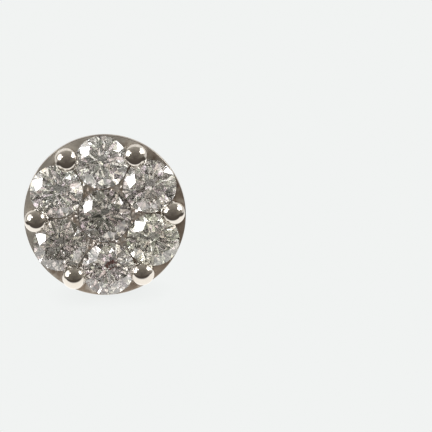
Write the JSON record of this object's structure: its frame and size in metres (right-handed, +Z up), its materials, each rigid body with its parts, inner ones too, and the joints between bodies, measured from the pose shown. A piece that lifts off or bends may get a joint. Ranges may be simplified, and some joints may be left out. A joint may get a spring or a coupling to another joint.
{
  "type": "diamond stud earring",
  "caption": "Round cluster stud earring: brilliant-cut stones in a drilled cup, ball-ended prongs near the rim, and a straight ear post with a push-on clutch. It lies on its rim and the clutch.",
  "frame": {"origin": "on the surface that the stud lies on, below the middle of its box", "axes": "+Z up; the stones' face looks to -Y and tilts up by about 17 degrees; the ear post runs to +Y and slightly down; +X to the right as the face is seen"},
  "size_m": [0.0084, 0.0132, 0.0081],
  "materials": {
    "white_gold": "polished white gold with bright ball ends and a duller, slightly brownish cup",
    "diamond": "polished facets, clear with a faint grey tint"
  },
  "bodies": {
    "root": {"setting": "white_gold", "stone_centre": "diamond", "stone_1": "diamond", "stone_2": "diamond", "stone_3": "diamond", "stone_4": "diamond", "stone_5": "diamond", "stone_6": "diamond", "clutch": "white_gold"}
  },
  "joints": []
}
